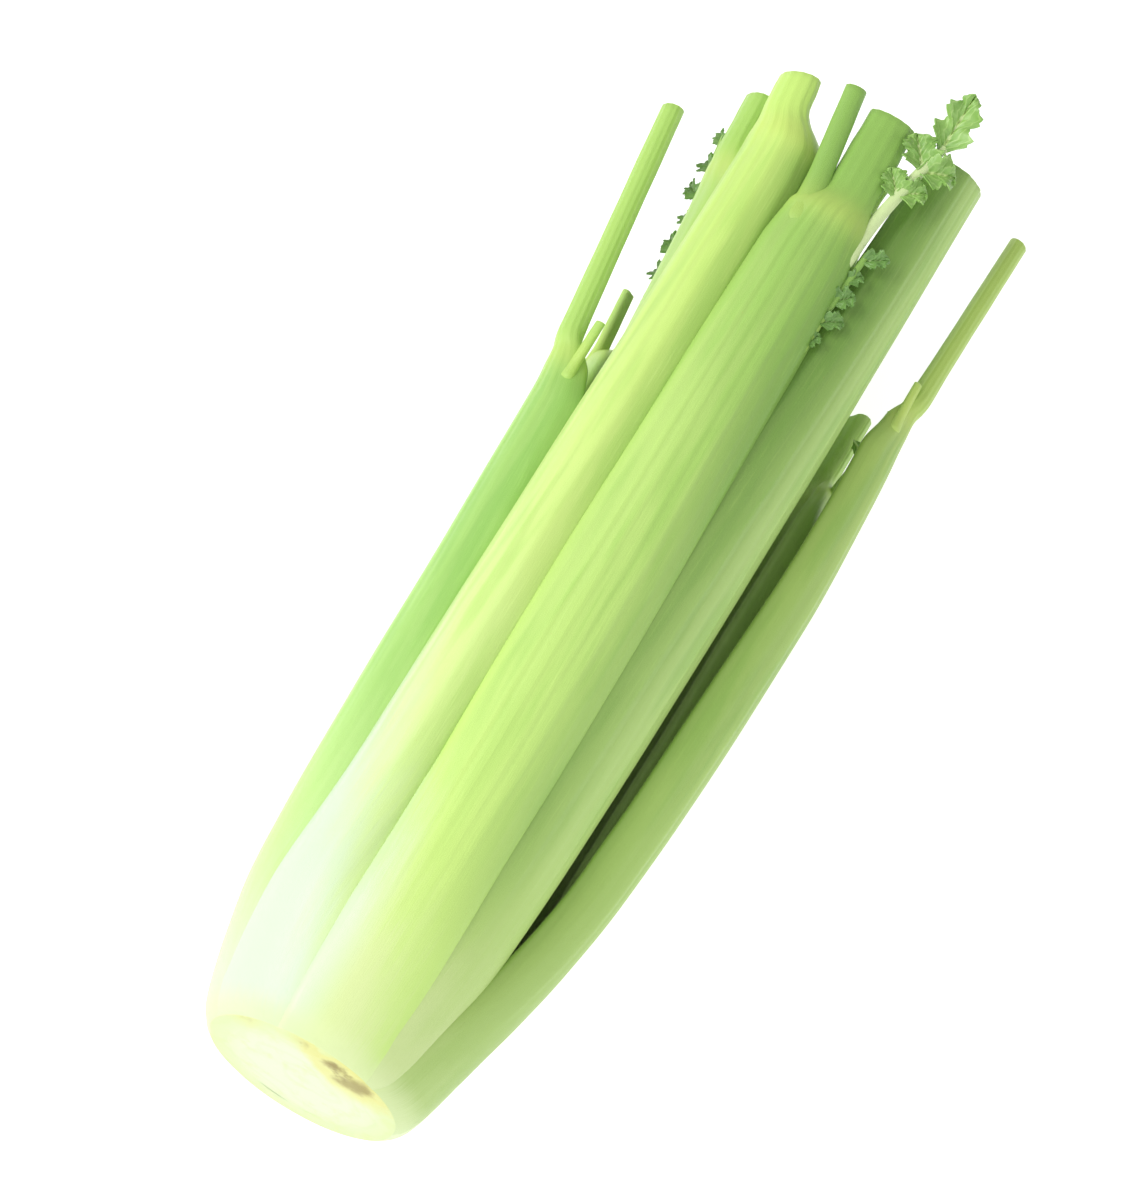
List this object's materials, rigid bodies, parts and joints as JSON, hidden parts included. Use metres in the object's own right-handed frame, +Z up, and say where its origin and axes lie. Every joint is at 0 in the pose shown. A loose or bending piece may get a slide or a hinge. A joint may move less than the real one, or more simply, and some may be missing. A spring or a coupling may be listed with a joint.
{
  "type": "head of celery",
  "caption": "Trimmed head of celery lying on its side: ribbed channel stalks nested round a solid crown, white at the cut root, green above, ending in nodes, thin stems and small cut leaves.",
  "frame": {"origin": "on the surface it lies on, below the middle of the head's box", "axes": "+X up the head from the root cut to the tops, +Y to its left seen from the root, +Z up"},
  "size_m": [0.3626, 0.1164, 0.0961],
  "materials": {
    "crown": "moist white root flesh, cut flat, with faint brown stains",
    "outer_stalks": "satin, white at the root turning pale yellow-green, fine lengthwise ribs",
    "side_stalks": "satin mid green with fine lengthwise ribs",
    "under_stalks": "satin pale green with fine lengthwise ribs",
    "inner_stalks": "satin pale yellow-green, small fresh leaves of the same flesh",
    "heart_stalks": "satin pale yellow, thin stems with small leaves"
  },
  "bodies": {
    "root": {"crown": "crown", "outer_stalk_top": "outer_stalks", "outer_stalk_left": "outer_stalks", "outer_stalk_right": "outer_stalks", "side_stalk_right": "side_stalks", "side_stalk_left": "side_stalks", "under_stalk_right": "under_stalks", "under_stalk_left": "under_stalks", "bottom_stalk_right": "under_stalks", "bottom_stalk_left": "under_stalks", "inner_stalk_right": "inner_stalks", "inner_stalk_left": "inner_stalks", "inner_stalk_top": "inner_stalks", "inner_stalk_under_right": "inner_stalks", "inner_stalk_under_left": "inner_stalks", "heart_stalk_top": "heart_stalks", "heart_stalk_right": "heart_stalks", "heart_stalk_left": "heart_stalks"}
  },
  "joints": []
}
